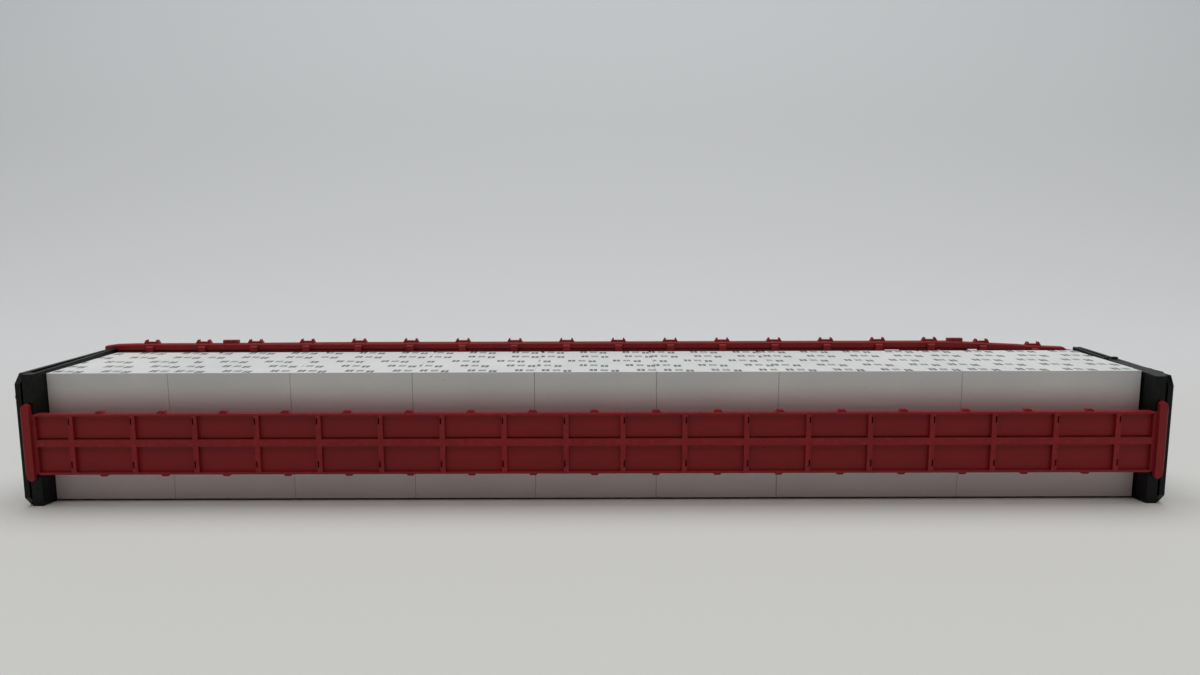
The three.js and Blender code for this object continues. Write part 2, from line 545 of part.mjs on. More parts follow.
// ------------------------------------------------------------ lumber packs
{
  const c = PACK_CHAMFER;
  for (const [row, [z0, z1]] of [['upper', PACK_UPPER], ['lower', PACK_LOWER]]) {
    for (let i = 0; i < PACK_EDGES.length - 1; i++) {
      const a = PACK_EDGES[i] + (i ? PACK_GAP / 2 : 0);
      const b = PACK_EDGES[i + 1] - (i < PACK_EDGES.length - 2 ? PACK_GAP / 2 : 0);
      const w = (b - a) / 2, h = (z1 - z0) / 2;
      // square block with chamfered near corners and folded bottom corners
      const [fw, fd] = PACK_FOLD;
      const body = sweep([
        [-w + c, 0], [w - c, 0], [w, c], [w, PACK_DEPTH - fd],
        [w - fw, PACK_DEPTH], [-w + fw, PACK_DEPTH], [-w, PACK_DEPTH - fd], [-w, c],
      ], -h, h, 'z', FT);
      car.add(part(`lumber_pack_${row}_${i + 1}`, body, wrap(),
        [(a + b) / 2 * FT, 0, (z0 + z1) / 2 * FT]));
    }
  }
}

// ------------------------------------------------------------------ trucks
const mirrorX = (pts) => pts.map(([x, y]) => [-x, y]).reverse();
function truckFrame() {
  const half = [
    [0, -4.1], [3.0, -4.1], [7.2, -3.3], [8.6, -2.2], [12.5, -2.2], [13.0, -1.8], [13.0, 1.4], [12.5, 1.8],
    [8.6, 1.8], [7.6, 1.4], [4.7, 3.9], [3.8, 4.3], [0, 4.3],
  ];
  const outline = [...half.slice(1, -1), ...half.slice(1, -1).map(([x, y]) => [-x, y]).reverse()];
  const window = [[3.5, -2.5], [6.9, -1.7], [7.0, -0.4], [4.3, 2.0], [3.5, 2.0]];
  const spring = [[-2.4, -0.9], [2.4, -0.9], [2.4, 2.7], [-2.4, 2.7]];
  const pieces = [];
  for (const s of [-1, 1]) {
    const z0 = s > 0 ? SIDEFRAME_Z[0] : -SIDEFRAME_Z[1], z1 = s > 0 ? SIDEFRAME_Z[1] : -SIDEFRAME_Z[0];
    let frame = sweep(outline, z0, z1, 'z', 1, [window, mirrorX(window), spring]);
    // coil springs in the middle opening
    for (const x of [-1.45, 0, 1.45]) frame = frame.add(rod('y', [x, 0.9, s * 12.05], 0.6, 2.0, 6));
    // journal box covers
    for (const x of [-WHEELBASE_HALF, WHEELBASE_HALF]) {
      frame = frame.add(cone('z', [x, 0, s * 13.05], s > 0 ? 1.25 : 0.9, s > 0 ? 0.9 : 1.25, 0.6, 8));
      // needle bearing cup
      frame = frame.subtract(cone('z', [x, 0, s * 11.92], s > 0 ? 1.05 : 0.25, s > 0 ? 0.25 : 1.05, 1.7, 8));
    }
    pieces.push(frame);
  }
  // bolster, wider at the middle, with its centre plate
  pieces.push(sweep([
    [-4.2, -11.3], [-1.9, -11.3], [-1.2, -4.5], [-1.2, 4.5], [-1.9, 11.3], [-4.2, 11.3],
  ], -2.3, 2.3, 'x', 1));
  pieces.push(rod('y', [0, -4.3, 0], 3.9, 0.2, 16));
  // brake beams reach towards each wheel
  for (const s of [-1, 1]) {
    pieces.push(boxMm(Math.min(s * 2.0, s * 3.4), Math.max(s * 2.0, s * 3.4), -2.0, -1.2, -9.6, 9.6));
  }
  let body = union(pieces);
  body = body.subtract(rod('y', [0, -2.5, 0], 1.3, 4, 14));
  return body;
}
const frameBody = truckFrame();
const wheelProfile = [
  [WHEEL_BORE, WHEEL_IN], [FLANGE_R - 0.1, WHEEL_IN], [FLANGE_R, WHEEL_IN + 0.4],
  [WHEEL_R + 0.05, WHEEL_IN + 0.85], [WHEEL_R - 0.08, WHEEL_OUT],
  [4.0, WHEEL_OUT], [3.6, WHEEL_OUT - 0.8], [1.9, WHEEL_OUT - 0.9], [1.7, WHEEL_OUT - 0.1], [WHEEL_BORE, WHEEL_OUT - 0.1],
  [WHEEL_BORE, WHEEL_IN],
];
const axleProfile = [
  [0, -12.5], [0.12, -12.5], [0.7, -11.4], [0.7, -10.5], [AXLE_R, -10.3],
  [AXLE_R, 10.3], [0.7, 10.5], [0.7, 11.4], [0.12, 12.5], [0, 12.5],
];
for (const [index, s] of [[1, -1], [2, 1]]) {
  const end = s < 0 ? 'left' : 'right';
  const truck = new THREE.Group();
  truck.position.set(s * BOLSTER_X * FT, AXLE_Y, ZC * FT);
  truck.add(part(`truck_frame_${end}`, frameBody, truckPlastic()));
  for (const [n, w] of [['outer', s], ['inner', -s]]) {
    const set = new THREE.Group();
    set.position.set(w * WHEELBASE_HALF, 0, 0);
    set.add(part(`axle_${end}_${n}`, solid(turned(axleProfile, 8)), steel()));
    const wheel = solid(turned(wheelProfile, 16));
    set.add(part(`wheel_${end}_${n}_a`, wheel, wheelMetal()));
    const other = solid(turned(wheelProfile.map(([r, z]) => [r, -z]).reverse(), 16));
    set.add(part(`wheel_${end}_${n}_b`, other, wheelMetal()));
    truck.add(set);
  }
  car.add(truck);
  // kingpin screw: head under the bolster, shank up into the body bolster
  const yHead = AXLE_Y - 1.0;
  const shank = rod('y', [0, (33.5 + yHead) / 2, 0], 0.8, (yHead - 33.5) / 2, 12);
  let head = cone('y', [0, yHead + 0.45, 0], 1.9, 1.6, 0.9, 16);
  head = head.subtract(boxMm(-1.5, 1.5, yHead + 0.55, yHead + 1.2, -0.2, 0.2));
  car.add(part(`kingpin_screw_${end}`, shank.add(head), steel(), [s * BOLSTER_X * FT, 0, ZC * FT]));
}

// ---------------------------------------------------------------- couplers
for (const s of [-1, 1]) {
  const end = s < 0 ? 'left' : 'right';
  const unit = new THREE.Group();
  unit.position.set(s * COUPLER_PIVOT_X * FT, 0, ZC * FT);
  const [ya, yb] = COUPLER_Y.map((v) => v * FT);
  // plan outlines in (z, x) about the pivot; g runs outward
  const flip = (pts) => pts.map(([z, g]) => [s * z, s * g]);
  const shankPts = flip([
    [-1.55, -1.7], [1.55, -1.7], [1.7, 0.4], [0.85, 2.2], [0.85, 8.6], [2.5, 9.4], [2.5, 10.6],
    [0.6, 10.9], [-0.9, 10.9], [-2.2, 12.6], [-2.7, 13.4], [-3.4, 13.2], [-3.3, 11.6], [-2.3, 9.2], [-0.85, 8.6], [-0.85, 2.2], [-1.7, 0.4],
  ]);
  let body = sweep(shankPts, ya, yb, 'y', 1);
  body = body.subtract(rod('y', [0, (ya + yb) / 2, 0], 1.05, 2, 16));
  // taller head with two knuckle lugs and the knuckle pin between them
  const headPts = flip([[-2.4, 9.0], [0.4, 8.8], [0.6, 10.7], [-0.9, 10.8], [-2.3, 12.6], [-2.7, 13.4], [-3.4, 13.2], [-3.3, 11.6]]);
  body = body.add(sweep(headPts, ya - 0.6, yb + 0.6, 'y', 1));
  const lugPts = flip([[0.2, 8.9], [2.5, 9.2], [3.2, 10.6], [3.0, 12.4], [1.6, 12.4], [0.4, 10.6]]);
  body = body.add(sweep(lugPts, ya - 0.6, ya - 0.05, 'y', 1));
  body = body.add(sweep(lugPts, yb + 0.05, yb + 0.6, 'y', 1));
  body = body.subtract(sweep(flip([[0.9, 10.5], [3.6, 10.5], [3.6, 13], [0.9, 13]]), ya - 0.06, yb + 0.06, 'y', 1));
  const pin = [s * 2.25, s * 11.55];   // [z, x]
  body = body.add(rod('y', [pin[1], (ya + yb) / 2, pin[0]], 0.4, (yb - ya) / 2 + 0.4, 10));
  unit.add(part(`coupler_${end}`, body, couplerMetal()));
  // knuckle hooks across the mouth
  const knucklePts = flip([
    [1.5, 11.0], [2.9, 10.9], [3.15, 11.6], [3.0, 13.2], [2.2, 14.5], [0.4, 14.6], [-0.5, 14.1], [-0.5, 13.3],
    [0.9, 13.2], [1.35, 12.5],
  ]);
  let knuckle = sweep(knucklePts, ya + 0.12, yb - 0.12, 'y', 1);
  knuckle = knuckle.subtract(rod('y', [pin[1], (ya + yb) / 2, pin[0]], 0.56, 2, 12));
  unit.add(part(`knuckle_${end}`, knuckle, couplerMetal()));
  car.add(unit);

  // lid of the draft-gear box and its screw
  const x0 = Math.min(s * 33.9, s * BOX_X[1]), x1 = Math.max(s * 33.9, s * BOX_X[1]);
  let lid = box(x0, x1, LID_Y[0], LID_Y[1], ZC - BOX_HALF_Z, ZC + BOX_HALF_Z);
  lid = lid.subtract(rod('y', [s * COUPLER_PIVOT_X * FT, (LID_Y[0] + LID_Y[1]) / 2 * FT, ZC * FT], 0.55, 2, 12));
  car.add(part(`draft_gear_lid_${end}`, lid, red()));
  const ys = LID_Y[1] * FT;
  let screw = rod('y', [0, ys - 1.1, 0], 0.32, 1.15, 10).add(cone('y', [0, ys + 0.43, 0], 1.1, 0.8, 0.8, 14));
  screw = screw.subtract(boxMm(-1.3, 1.3, ys + 0.5, ys + 1, -0.14, 0.14));
  car.add(part(`draft_gear_screw_${end}`, screw, steel(), [s * COUPLER_PIVOT_X * FT, 0, ZC * FT]));
}

// -------------------------------------------------------------- brake gear
{
  const yTop = (UF_Y + 0.02) * FT;
  // air reservoir: domed drum with two saddles, between two crossbearers
  const rz = ZC * FT - 8.2, rx = -14.4, ry = yTop + 3.3;
  const drum = solid((() => {
    const g = turned([[0, -5.4], [1.5, -5.1], [2.3, -4.3], [2.3, 4.3], [1.5, 5.1], [0, 5.4]], 14);
    g.rotateY(Math.PI / 2);
    g.translate(rx, ry, rz);
    return g;
  })());
  const saddles = [-2.6, 2.6].map((u) => boxMm(rx + u - 0.5, rx + u + 0.5, yTop + 0.02, ry, rz - 1.2, rz + 1.2));
  car.add(part('air_reservoir', union([drum, ...saddles]), red()));
  // brake cylinder: stepped drum, piston rod and bracket
  const bz = ZC * FT + 8.4, bx = -14.0, by = yTop + 3.0;
  const cyl = union([
    rod('x', [bx - 1.4, by, bz], 2.1, 2.6, 14), rod('x', [bx - 1.6, by, bz], 2.45, 0.35, 14),
    cone('x', [bx + 2.0, by, bz], 1.9, 0.8, 1.8, 14), rod('x', [bx + 3.6, by, bz], 0.35, 1.5, 8),
    boxMm(bx - 2.6, bx + 0.2, yTop + 0.02, by, bz - 1.0, bz + 1.0),
  ]);
  car.add(part('brake_cylinder', cyl, red()));
  // control valve: body with two bosses
  const vx = 13.2, vz = ZC * FT + 8.0, vy = yTop;
  car.add(part('control_valve', union([
    boxMm(vx - 1.3, vx + 1.3, vy + 0.02, vy + 3.4, vz - 1.2, vz + 1.2),
    rod('x', [vx - 1.8, vy + 2.0, vz], 1.0, 0.8, 10), rod('x', [vx + 1.8, vy + 1.7, vz], 0.8, 0.8, 10),
    rod('z', [vx, vy + 2.2, vz - 1.6], 0.8, 0.7, 10),
  ]), red()));
  // brake wheel on the left bulkhead: rim, hub, spokes and stub
  const wy = 7.35, face = -(bulkheadFace(wy) + 0.13) * FT;
  const rim = solid((() => {
    const pts = [];
    for (let i = 0; i <= 5; i++) {
      const a = (i / 5) * 2 * Math.PI;
      pts.push([2.6 + 0.26 * Math.cos(a), 0.26 * Math.sin(a)]);
    }
    pts[5] = pts[0];
    const g = turned(pts, 16);
    g.rotateY(Math.PI / 2);
    return g;
  })());
  const spokes = [0, 1, 2, 3, 4].map((i) => {
    const g = new THREE.BoxGeometry(0.3, 2.6, 0.34);
    g.translate(0, 1.3, 0);
    g.rotateX((i / 5) * 2 * Math.PI);
    return solid(g);
  });
  const hub = rod('x', [0.25, 0, 0], 0.55, 0.6, 10);
  car.add(part('brake_wheel', union([rim, ...spokes, hub]), black(), [face - 1.0, wy * FT, 4.28 * FT]));
}

// ---------------------------------------------------------------- sill steps
for (const s of [-1, 1]) {
  for (const [side, z] of [['upper', 7.7], ['lower', 2 * ZC - 7.7]]) {
    const y0 = DECK_Y + DECK_T + 0.02, y1 = 11.0, t = 0.1, w = 0.55, x = s * 35.3;
    const legs = [
      box(x - w, x - w + t, y0, y1, z - t / 2, z + t / 2),
      box(x + w - t, x + w, y0, y1, z - t / 2, z + t / 2),
      box(x - w, x + w, y1 - t, y1, z - 0.14, z + 0.14),
      box(x - w, x + w, y0, y0 + t, z - 0.14, z + 0.14),
    ];
    car.add(part(`sill_step_${s < 0 ? 'left' : 'right'}_${side}`, union(legs), black()));
  }
}

// the whole car is moved so that the origin is the bottom centre of its box
const bounds = new THREE.Box3().setFromObject(car);
car.position.set(
  -(bounds.min.x + bounds.max.x) / 2,
  -(bounds.min.y + bounds.max.y) / 2,
  -bounds.min.z,
);

const root = new THREE.Group();
root.add(car);
export default root;
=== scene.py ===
# Centre-partition flat car, 1:87 model, lying on its side with wrapped lumber.
import bpy
import bmesh
import json
import math
from mathutils import Matrix, Vector


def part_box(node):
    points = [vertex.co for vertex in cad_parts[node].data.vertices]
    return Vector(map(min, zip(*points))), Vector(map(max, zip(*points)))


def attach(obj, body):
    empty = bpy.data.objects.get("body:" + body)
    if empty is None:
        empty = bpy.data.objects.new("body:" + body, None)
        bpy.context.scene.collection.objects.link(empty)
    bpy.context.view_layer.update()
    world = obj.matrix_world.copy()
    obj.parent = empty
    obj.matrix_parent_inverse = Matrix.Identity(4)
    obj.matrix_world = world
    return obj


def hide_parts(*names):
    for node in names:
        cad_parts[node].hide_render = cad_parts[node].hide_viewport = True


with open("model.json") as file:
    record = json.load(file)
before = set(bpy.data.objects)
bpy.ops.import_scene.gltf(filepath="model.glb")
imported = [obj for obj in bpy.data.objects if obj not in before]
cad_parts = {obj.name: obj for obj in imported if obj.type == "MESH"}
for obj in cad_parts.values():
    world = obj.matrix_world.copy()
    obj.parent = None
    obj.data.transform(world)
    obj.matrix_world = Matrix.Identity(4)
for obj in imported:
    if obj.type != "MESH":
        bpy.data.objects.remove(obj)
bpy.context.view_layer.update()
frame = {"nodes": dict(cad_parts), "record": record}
nodes = frame["nodes"]

FT = 0.0035
MM = 0.001
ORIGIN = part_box("lumber_pack_lower_1")[0].copy()   # corner (.., 0, 0) of the load
BODY = {n: b for b, ns in frame["record"]["behaviour"]["bodies"].items() for n in ns}
SLOT = {s["node"]: s["material_slot"] for s in frame["record"]["subparts"]}


def at(x, y, z):
    """A point given in scale feet from the load's near lower edge, in the row frame."""
    return Vector((x * FT, ORIGIN.y + y * FT, ORIGIN.z + z * FT))


# ------------------------------------------------------------------ camera
cam_data = bpy.data.cameras.new("camera")
cam = bpy.data.objects.new("camera", cam_data)
bpy.context.scene.collection.objects.link(cam)
cam_data.sensor_width = 36.0
cam_data.lens = 913.6 / 1200 * 36.0
cam_data.clip_start, cam_data.clip_end = 0.01, 20.0
pitch, roll = math.radians(8.0), math.radians(0.15)
right, up = Vector((1, 0, 0)), Vector((0, math.sin(pitch), math.cos(pitch)))
fwd = Vector((0, math.cos(pitch), -math.sin(pitch)))
r2 = right * math.cos(roll) - up * math.sin(roll)
u2 = right * math.sin(roll) + up * math.cos(roll)
cam.matrix_world = Matrix.Translation(at(0.37, -58.8, 19.03)) @ Matrix((
    (r2.x, u2.x, -fwd.x), (r2.y, u2.y, -fwd.y), (r2.z, u2.z, -fwd.z))).to_4x4()
bpy.context.scene.camera = cam


# --------------------------------------------------------------- materials
class Nodes:
    """Small helper that chains shader nodes."""

    def __init__(self, name):
        self.mat = bpy.data.materials.new(name)
        self.mat.use_nodes = True
        self.t = self.mat.node_tree
        self.t.nodes.clear()
        self.out = self.t.nodes.new("ShaderNodeOutputMaterial")
        self.bsdf = self.t.nodes.new("ShaderNodeBsdfPrincipled")
        self.t.links.new(self.bsdf.outputs[0], self.out.inputs[0])
        tc = self.t.nodes.new("ShaderNodeTexCoord")
        self.co, self.nor = tc.outputs["Object"], tc.outputs["Normal"]

    def link(self, a, b):
        self.t.links.new(a, b)

    def put(self, socket, v):
        if hasattr(v, "is_output"):
            self.t.links.new(v, socket)
        else:
            socket.default_value = v

    def math(self, op, a, b=0.0, c=0.0, clamp=False):
        n = self.t.nodes.new("ShaderNodeMath")
        n.operation, n.use_clamp = op, clamp
        self.put(n.inputs[0], a)
        self.put(n.inputs[1], b)
        self.put(n.inputs[2], c)
        return n.outputs[0]

    def xyz(self, v):
        n = self.t.nodes.new("ShaderNodeSeparateXYZ")
        self.link(v, n.inputs[0])
        return n.outputs

    def scaled(self, s, co=None):
        n = self.t.nodes.new("ShaderNodeMapping")
        self.link(co or self.co, n.inputs[0])
        n.inputs["Scale"].default_value = (s, s, s) if not hasattr(s, "__len__") else s
        return n.outputs[0]

    def noise(self, scale, detail=3.0, rough=0.55, co=None, distortion=0.0):
        n = self.t.nodes.new("ShaderNodeTexNoise")
        self.link(co or self.co, n.inputs["Vector"])
        n.inputs["Scale"].default_value = scale
        n.inputs["Detail"].default_value = detail
        n.inputs["Roughness"].default_value = rough
        n.inputs["Distortion"].default_value = distortion
        return n.outputs["Fac"]

    def remap(self, v, a, b, lo, hi, smooth=False):
        n = self.t.nodes.new("ShaderNodeMapRange")
        n.interpolation_type = "SMOOTHSTEP" if smooth else "LINEAR"
        self.put(n.inputs["Value"], v)
        n.inputs["From Min"].default_value, n.inputs["From Max"].default_value = a, b
        n.inputs["To Min"].default_value, n.inputs["To Max"].default_value = lo, hi
        return n.outputs[0]

    def mix(self, f, a, b, blend="MIX"):
        n = self.t.nodes.new("ShaderNodeMix")
        n.data_type, n.blend_type = "RGBA", blend
        self.put(n.inputs[0], f)
        self.put(n.inputs[6], a)
        self.put(n.inputs[7], b)
        return n.outputs[2]

    def bump(self, h, strength, distance, normal=None):
        n = self.t.nodes.new("ShaderNodeBump")
        n.inputs["Strength"].default_value = strength
        n.inputs["Distance"].default_value = distance
        self.link(h, n.inputs["Height"])
        if normal is not None:
            self.link(normal, n.inputs["Normal"])
        return n.outputs[0]


def srgb(r, g, b):
    f = lambda c: (c / 255) / 12.92 if c / 255 <= 0.04045 else ((c / 255 + 0.055) / 1.055) ** 2.4
    return (f(r), f(g), f(b), 1.0)


def plastic(name, base, dark, rough, spec=0.5, grain=1.0, pale=None):
    """Moulded plastic: slow colour drift, fine orange peel, edge wear and dust."""
    m = Nodes(name)
    slow = m.noise(60.0, 3.0, 0.5)
    fine = m.noise(2600.0, 2.0, 0.6)
    flow = m.noise(1.0, 3.0, 0.6, m.scaled((180.0, 900.0, 900.0)))
    col = m.mix(m.remap(slow, 0.3, 0.7, 0.0, 1.0), dark, base)
    col = m.mix(m.remap(flow, 0.35, 0.75, 0.0, 0.35), col, dark)
    if pale:
        geo = m.t.nodes.new("ShaderNodeNewGeometry")
        edge = m.remap(geo.outputs["Pointiness"], 0.53, 0.66, 0.0, 0.32)
        speck = m.remap(m.noise(900.0, 4.0, 0.7), 0.45, 0.7, 0.0, 1.0)
        col = m.mix(m.math("MULTIPLY", edge, speck), col, pale)
    m.link(col, m.bsdf.inputs["Base Color"])
    m.link(m.remap(m.math("ADD", m.math("MULTIPLY", slow, 0.6), m.math("MULTIPLY", fine, 0.4)), 0.3, 0.7, rough - 0.07, rough + 0.09), m.bsdf.inputs["Roughness"])
    m.bsdf.inputs["Specular IOR Level"].default_value = spec
    m.link(m.bump(fine, 0.10 * grain, 0.00004, m.bump(flow, 0.12 * grain, 0.0001)), m.bsdf.inputs["Normal"])
    return m.mat


def metal(name, base, dark, rough, metallic=1.0, grime=0.5):
    m = Nodes(name)
    slow = m.noise(250.0, 4.0, 0.6)
    fine = m.noise(3500.0, 3.0, 0.6)
    patch = m.remap(slow, 0.35, 0.65, 0.0, grime)
    m.link(m.mix(patch, base, dark), m.bsdf.inputs["Base Color"])
    m.link(m.remap(m.math("ADD", m.math("MULTIPLY", slow, 0.5), m.math("MULTIPLY", fine, 0.5)), 0.3, 0.7, rough - 0.08, rough + 0.14), m.bsdf.inputs["Roughness"])
    m.bsdf.inputs["Metallic"].default_value = metallic
    m.link(m.bump(fine, 0.12, 0.00004), m.bsdf.inputs["Normal"])
    return m.mat


RED, RED_DARK = (0.262, 0.0160, 0.0195, 1), (0.215, 0.0130, 0.0160, 1)
mats = {
    "red_plastic": plastic("red_moulded_plastic", RED, RED_DARK, 0.46, 0.18, 1.0, (0.42, 0.045, 0.05, 1)),
    "black_plastic": plastic("black_moulded_plastic", (0.0042, 0.0044, 0.0045, 1), (0.0028, 0.0030, 0.0031, 1), 0.40, 0.17, 1.0, (0.030, 0.030, 0.030, 1)),
    "truck_plastic": plastic("truck_moulded_plastic", (0.022, 0.0175, 0.0150, 1), (0.014, 0.0115, 0.0100, 1), 0.55, 0.35, 1.6, (0.07, 0.06, 0.05, 1)),
    "axle_steel": metal("turned_axle_steel", (0.42, 0.41, 0.40, 1), (0.22, 0.20, 0.18, 1), 0.32),
    "screw_steel": metal("plated_screw_steel", (0.50, 0.50, 0.49, 1), (0.26, 0.25, 0.23, 1), 0.28),
    "ballast_steel": metal("rolled_ballast_steel", (0.30, 0.29, 0.28, 1), (0.15, 0.12, 0.10, 1), 0.48),
    "coupler_metal": metal("blackened_coupler_metal", (0.055, 0.050, 0.047, 1), (0.030, 0.024, 0.020, 1), 0.46, 0.85),
    "wheel_metal": metal("blackened_wheel_metal", (0.085, 0.078, 0.072, 1), (0.045, 0.036, 0.030, 1), 0.40, 0.9),
}

PRINT_PITCH, MARK_STEP = 3.15, 0.72
ROW_PHASE = [0.35, 2.65, 1.65, 2.39, 2.12]


def wrap_material(name, x0, seed):
    """Folded paper wrap with rows of small generic printed dashes on its sides."""
    m = Nodes(name)
    x, y, z = m.xyz(m.co)
    wob = m.noise(1400.0, 2.0, 0.5)
    wobble = m.remap(wob, 0.0, 1.0, -0.05, 0.05)
    u = m.math("ADD", m.math("DIVIDE", m.math("SUBTRACT", x, x0), FT), wobble)
    v = m.math("ADD", m.math("DIVIDE", m.math("SUBTRACT", y, ORIGIN.y), FT), wobble)
    row = m.math("FLOOR", m.math("DIVIDE", m.math("SUBTRACT", v, 0.6 - 0.95), 1.9))
    dv = m.math("SUBTRACT", v, m.math("MULTIPLY_ADD", row, 1.9, 0.6))
    ramp = m.t.nodes.new("ShaderNodeValToRGB")
    ramp.color_ramp.interpolation = "CONSTANT"
    els = ramp.color_ramp.elements
    while len(els) < 5:
        els.new(0.5)
    for i, ph in enumerate(ROW_PHASE):
        els[i].position = i * 0.2
        g = ((ph + seed * (0.07 + 0.03 * i)) % PRINT_PITCH) / PRINT_PITCH
        els[i].color = (g, g, g, 1)
    m.link(m.math("MULTIPLY_ADD", row, 0.2, 0.1), ramp.inputs[0])
    sep = m.t.nodes.new("ShaderNodeSeparateColor")
    m.link(ramp.outputs[0], sep.inputs[0])
    phase = sep.outputs[0]
    s = m.math("SUBTRACT", m.math("DIVIDE", u, PRINT_PITCH), phase)
    s = m.math("FRACT", m.math("ADD", s, 0.12))
    s = m.math("SUBTRACT", m.math("MULTIPLY", s, PRINT_PITCH), 0.12 * PRINT_PITCH)
    masks = []
    for k, lift in enumerate((0.13, 0.10, -0.17)):
        t = m.math("ABSOLUTE", m.math("SUBTRACT", s, k * MARK_STEP))
        inside = m.math("MULTIPLY", m.math("LESS_THAN", t, 0.25), m.math("GREATER_THAN", t, 0.028 if k != 1 else 0.012))
        tall = m.math("LESS_THAN", m.math("ABSOLUTE", m.math("SUBTRACT", dv, lift)), 0.37 if k != 1 else 0.31)
        masks.append(m.math("MULTIPLY", inside, tall))
    nx, ny, nz = m.xyz(m.nor)
    side = m.math("GREATER_THAN", m.math("ABSOLUTE", nz), 0.8)
    inkv = m.remap(m.noise(2200.0, 2.0, 0.6), 0.36, 0.52, 0.35, 1.0)
    dark = m.math("MULTIPLY", m.math("MULTIPLY", m.math("ADD", masks[0], masks[2], clamp=True), side), inkv)
    green = m.math("MULTIPLY", m.math("MULTIPLY", masks[1], side), m.math("MULTIPLY", inkv, 0.9))
    mott = m.noise(45.0, 3.0, 0.55)
    fibre = m.noise(1.0, 4.0, 0.65, m.scaled((900.0, 2600.0, 2600.0)))
    paper = m.mix(m.remap(mott, 0.35, 0.65, 0.0, 1.0), (0.640, 0.655, 0.655, 1), (0.700, 0.708, 0.700, 1))
    paper = m.mix(m.remap(fibre, 0.3, 0.7, 0.0, 0.10), paper, (0.45, 0.45, 0.44, 1))
    speck = m.remap(m.noise(1500.0, 1.0, 0.4), 0.80, 0.83, 0.0, 0.5)
    paper = m.mix(speck, paper, (0.12, 0.11, 0.10, 1))
    col = m.mix(dark, paper, (0.030, 0.035, 0.040, 1))
    col = m.mix(green, col, (0.100, 0.175, 0.140, 1))
    # painted light on the near faces: a painted red reflection of the chord just above it, and painted shade with a red
    # tint below it, darker towards the bottom
    zf = m.math("DIVIDE", m.math("SUBTRACT", z, ORIGIN.z), FT)
    near = m.math("GREATER_THAN", m.math("MULTIPLY", ny, -1.0), 0.5)
    painted_red_reflection = m.math("MULTIPLY", m.remap(zf, 6.1, 7.7, 1.0, 0.0, True), m.math("GREATER_THAN", zf, 4.0))
    painted_red_shade = m.math("MULTIPLY", m.remap(zf, -0.2, 2.4, 0.75, 0.45), m.math("LESS_THAN", zf, 4.0))
    # mixes the painted red reflection and the painted red shade into the paper's colour
    col = m.mix(m.math("MULTIPLY", m.math("ADD", painted_red_reflection, painted_red_shade), m.math("MULTIPLY", near, 0.55)), col, (0.62, 0.36, 0.36, 1))
    m.link(col, m.bsdf.inputs["Base Color"])
    m.link(m.remap(fibre, 0.3, 0.7, 0.48, 0.62), m.bsdf.inputs["Roughness"])
    m.bsdf.inputs["Specular IOR Level"].default_value = 0.35
    crease = m.noise(1.0, 2.0, 0.5, m.scaled((90.0, 260.0, 420.0)), 0.6)
    m.link(m.bump(fibre, 0.10, 0.00003, m.bump(crease, 0.22, 0.00025)), m.bsdf.inputs["Normal"])
    return m.mat


# --------------------------------------- finer surfaces on the CAD's pieces
def merge_group():
    """Joins the triangles' corners again and drops the stored shading."""
    ng = bpy.data.node_groups.new("join_corners", "GeometryNodeTree")
    ng.interface.new_socket("Geometry", in_out="INPUT", socket_type="NodeSocketGeometry")
    ng.interface.new_socket("Geometry", in_out="OUTPUT", socket_type="NodeSocketGeometry")
    a, z = ng.nodes.new("NodeGroupInput"), ng.nodes.new("NodeGroupOutput")
    last = a.outputs[0]
    for name in ("custom_normal", "sharp_face", "sharp_edge"):
        r = ng.nodes.new("GeometryNodeRemoveAttribute")
        r.inputs["Name"].default_value = name
        ng.links.new(last, r.inputs[0])
        last = r.outputs[0]
    w = ng.nodes.new("GeometryNodeMergeByDistance")
    w.inputs["Distance"].default_value = 2e-6
    ng.links.new(last, w.inputs[0])
    ng.links.new(w.outputs[0], z.inputs[0])
    return ng


MERGE = merge_group()
BEVEL = {  # rounding of moulded edges, mm
    "red_plastic": 0.06, "black_plastic": 0.08, "truck_plastic": 0.10, "lumber_wrap": 0.045,
    "ballast_steel": 0.12, "coupler_metal": 0.07, "axle_steel": 0.03, "wheel_metal": 0.05, "screw_steel": 0.05,
}


def refine(o, slot):
    g = o.modifiers.new("join", "NODES")
    g.node_group = MERGE
    d = o.modifiers.new("flat", "DECIMATE")
    d.decimate_type, d.angle_limit = "DISSOLVE", math.radians(0.6)
    b = o.modifiers.new("round", "BEVEL")
    b.width, b.segments, b.limit_method = BEVEL[slot] * MM, 2, "ANGLE"
    b.angle_limit, b.use_clamp_overlap = math.radians(28), True
    b.miter_outer = "MITER_SHARP"
    w = o.modifiers.new("shade", "WEIGHTED_NORMAL")
    w.keep_sharp, w.weight = False, 50


wraps = {}
for name, o in nodes.items():
    slot = SLOT[name]
    if slot == "lumber_wrap":
        x0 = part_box(name)[0].x
        key = name.replace("lumber_pack", "paper_wrap")
        mat = wrap_material(key, x0, int(name[-1]) + (4 if "lower" in name else 0))
    else:
        mat = mats[slot]
    o.data.materials.clear()
    o.data.materials.append(mat)
    refine(o, slot)


# ------------------------------------------------- finer turned and wound pieces
def centre_of(node):
    lo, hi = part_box(node)
    return (lo + hi) / 2, hi - lo


def finish_piece(o, slot, body, *nodes_replaced, bevel=None):
    """Gives a new piece the material of its slot, puts it in its body, and hides the nodes it stands for."""
    bpy.context.scene.collection.objects.link(o)
    o.data.materials.append(mats[slot])
    if bevel:
        b = o.modifiers.new("round", "BEVEL")
        b.width, b.segments, b.limit_method = bevel * MM, 2, "ANGLE"
        b.angle_limit, b.use_clamp_overlap = math.radians(26), True
        o.modifiers.new("shade", "WEIGHTED_NORMAL").weight = 50
    if nodes_replaced:
        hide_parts(*nodes_replaced)
    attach(o, body)
    return o


